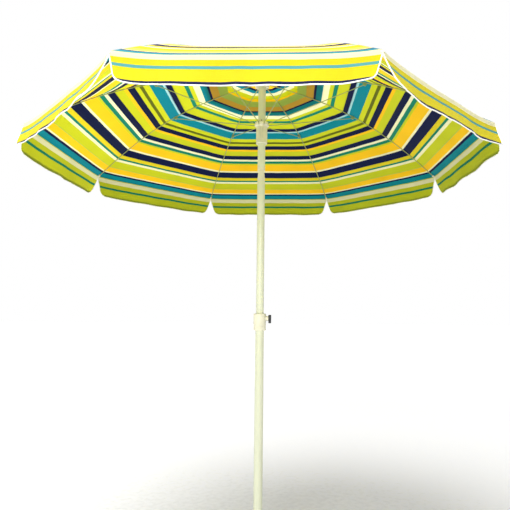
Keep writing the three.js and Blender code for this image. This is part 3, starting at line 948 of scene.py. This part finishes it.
HUB_R, HUB_BOTTOM, HUB_TOP = 0.031, RIM_Z + 0.306, RIM_Z + 0.340
EYE_R, EYE_Y = 0.0042, 0.0022  # the ribs' eyes, which turn in the hub's slits
STUD_R = 0.005                 # the finial's stud, in its hole in the hub


def hub_body():
    edge, hole = 0.003, STUD_R + 0.0005
    hub = turned("hub_body", [
        (MAST_R + GAP, HUB_BOTTOM), *arc(HUB_R - edge, HUB_BOTTOM + edge, edge, -90, 0),
        *arc(HUB_R - edge, HUB_TOP - edge, edge, 0, 90),
        (hole, HUB_TOP), (hole, MAST_TOP + GAP), (MAST_R + GAP, MAST_TOP + GAP)], ivory, 96)
    half_slit = EYE_Y + 0.0004
    for i in range(RIBS):
        slit = block("slit", (RING_R - EYE_R - GAP, HUB_R + 0.005), (-half_slit, half_slit),
                     (HUB_BOTTOM - 0.005, RING_Z + EYE_R + 0.0008))
        combine(hub, turn_to(slit, rib_angle(i)), "DIFFERENCE")
    return crease(hub)


def finial_cap():
    """A flat skirt, a waist and a round head over the cap's hole."""
    head_r = 0.0138
    return turned("finial_cap", [
        (0, MAST_TOP + 0.0006), (STUD_R, MAST_TOP + 0.0006), (STUD_R, HUB_TOP + GAP),
        *arc(0.0275, HUB_TOP + 0.0013, 0.001, -90, 0, 3), *arc(0.0265, HUB_TOP + 0.003, 0.002, 0, 70, 4),
        (0.0205, HUB_TOP + 0.0078), (0.0165, HUB_TOP + 0.011), (0.0148, HUB_TOP + 0.0145),
        (0.0134, HUB_TOP + 0.0195), *arc(0.0, HUB_TOP + 0.0160, head_r, 22, 90, 9)[:-1],
        (0, HUB_TOP + 0.0160 + head_r)], ivory, 96)


finish_piece(hub_body(), "mast_upper", "hub", slot="ivory_plastic")
finish_piece(finial_cap(), "mast_upper", "finial", slot="ivory_plastic")

# ---------------------------------------------------------------- runner and its latch

BORE, RUNNER_R, RUNNER_BOTTOM, CROWN_R = 0.0175, 0.0215, RIM_Z + 0.050, 0.031
CROWN_BOTTOM, CROWN_TOP = RIM_Z + 0.127, RIM_Z + 0.144
FLANGE_R, FLANGE_EDGE = 0.024, 0.0012
FIN_R, FIN_HALF, CROWN_SLIT_HALF = 0.024, 0.0012, 0.0025
WINDOW_X, LATCH_X, LATCH_BOTTOM, LATCH_TOP = 0.0054, 0.0036, RIM_Z + 0.071, RIM_Z + 0.120
LATCH_THICK, PAD_OUT = 0.0022, 0.0026
GRIP_GROOVES, GROOVE_PITCH, GRIP_GROOVE = 4, 0.003, 0.0012


def runner_body():
    """A sleeve with a foot flange and upright fins, under a crown with a slot for each stretcher."""
    fillet = 0.004
    runner = turned("runner_body", [
        (BORE, RUNNER_BOTTOM), *arc(FLANGE_R - FLANGE_EDGE, RUNNER_BOTTOM + FLANGE_EDGE, FLANGE_EDGE, -90, 0),
        *arc(FLANGE_R - FLANGE_EDGE, RUNNER_BOTTOM + 0.0048, FLANGE_EDGE, 0, 90),
        *arc(RUNNER_R + 0.001, RUNNER_BOTTOM + 0.007, 0.001, -90, -180, 3), (RUNNER_R, CROWN_BOTTOM - 0.004),
        *arc(RUNNER_R + fillet, CROWN_BOTTOM - 0.003, fillet, 180, 110, 4),
        (CROWN_R - 0.001, CROWN_BOTTOM + 0.0028),
        *arc(CROWN_R - 0.001, CROWN_BOTTOM + 0.004, 0.001, -60, 0, 3),
        *arc(CROWN_R - 0.002, CROWN_TOP - 0.002, 0.002, 0, 90), (BORE, CROWN_TOP)], ivory, 96)
    for i in range(1, RIBS):          # none over the latch, at -Y
        fin = block("fin", (RUNNER_R - 0.001, FIN_R), (-FIN_HALF, FIN_HALF),
                    (RUNNER_BOTTOM + 0.004, CROWN_BOTTOM + 0.002))
        combine(runner, turn_to(fin, -math.pi / 2 + 2 * i * HALF), "UNION")
    for i in range(RIBS):
        slit = block("slit", (0.022, CROWN_R + 0.005), (-CROWN_SLIT_HALF, CROWN_SLIT_HALF),
                     (CROWN_BOTTOM - 0.004, CROWN_TOP + 0.005))
        combine(runner, turn_to(slit, rib_angle(i)), "DIFFERENCE")
    window = block("window", (-WINDOW_X, WINDOW_X), (-RUNNER_R - 0.006, -BORE + 0.003),
                   (LATCH_BOTTOM - GAP, LATCH_TOP + GAP))
    return crease(combine(runner, window, "DIFFERENCE"))


def latch_tongue():
    """A springy tongue in the runner's window, with a grooved thumb pad near its top."""
    face = -RUNNER_R + GAP
    across = (-LATCH_X, LATCH_X)
    latch = block("latch_tongue", across, (face, face + LATCH_THICK), (LATCH_BOTTOM, LATCH_TOP))
    pad = block("pad", across, (face - PAD_OUT, face + 0.001), (LATCH_TOP - 0.016, LATCH_TOP - 0.002))
    combine(latch, pad, "UNION")
    for k in range(GRIP_GROOVES):
        low = LATCH_TOP - 0.0138 + GROOVE_PITCH * k
        groove = block("groove", (-0.004, 0.004), (face - 0.003, face - 0.0019), (low, low + GRIP_GROOVE))
        combine(latch, groove, "DIFFERENCE")
    return rounded(latch, 0.0003)


finish_piece(runner_body(), "runner", "runner", slot="ivory_plastic")
finish_piece(latch_tongue(), "runner_latch", "runner_latch", slot="ivory_plastic")

# ---------------------------------------------------------------- floor

bpy.ops.mesh.primitive_plane_add(size=60, location=(0, 0, -0.001))
floor = bpy.context.object
floor.name = "floor"
floor.data.materials.append(paper)
